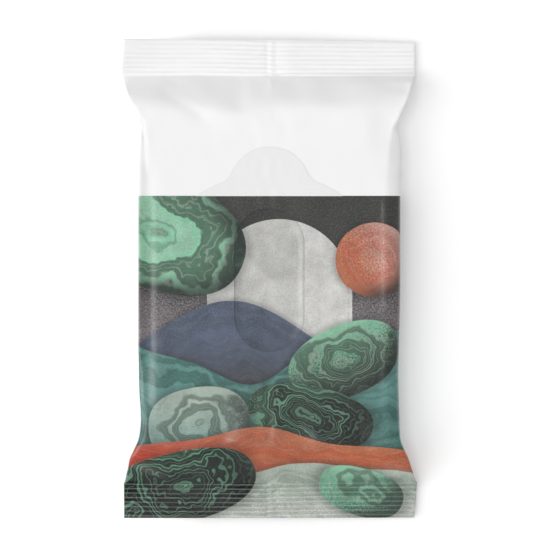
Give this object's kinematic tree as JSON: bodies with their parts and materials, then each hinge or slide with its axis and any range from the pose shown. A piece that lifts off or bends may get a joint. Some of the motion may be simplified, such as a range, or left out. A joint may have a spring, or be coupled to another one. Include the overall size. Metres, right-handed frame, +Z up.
{
  "type": "wet wipes pack",
  "caption": "Flat flow-wrapped film pack of folded wet wipes with crimped end seals, a fin seal along the back and a peel-and-reseal label with a round pull tab.",
  "frame": {"origin": "on the resting face, under the middle of the pack", "axes": "+X across the pack, +Y along it towards the label's pull tab, +Z up through its thickness, out of the front panel"},
  "size_m": [0.1218, 0.2, 0.0172],
  "materials": {
    "film": "satin printed film: white upper field, printed lower field",
    "label": "satin self-adhesive film, printed in register with the pack"
  },
  "bodies": {
    "root": {"film_pack": "film", "reseal_label": "label"}
  },
  "joints": []
}
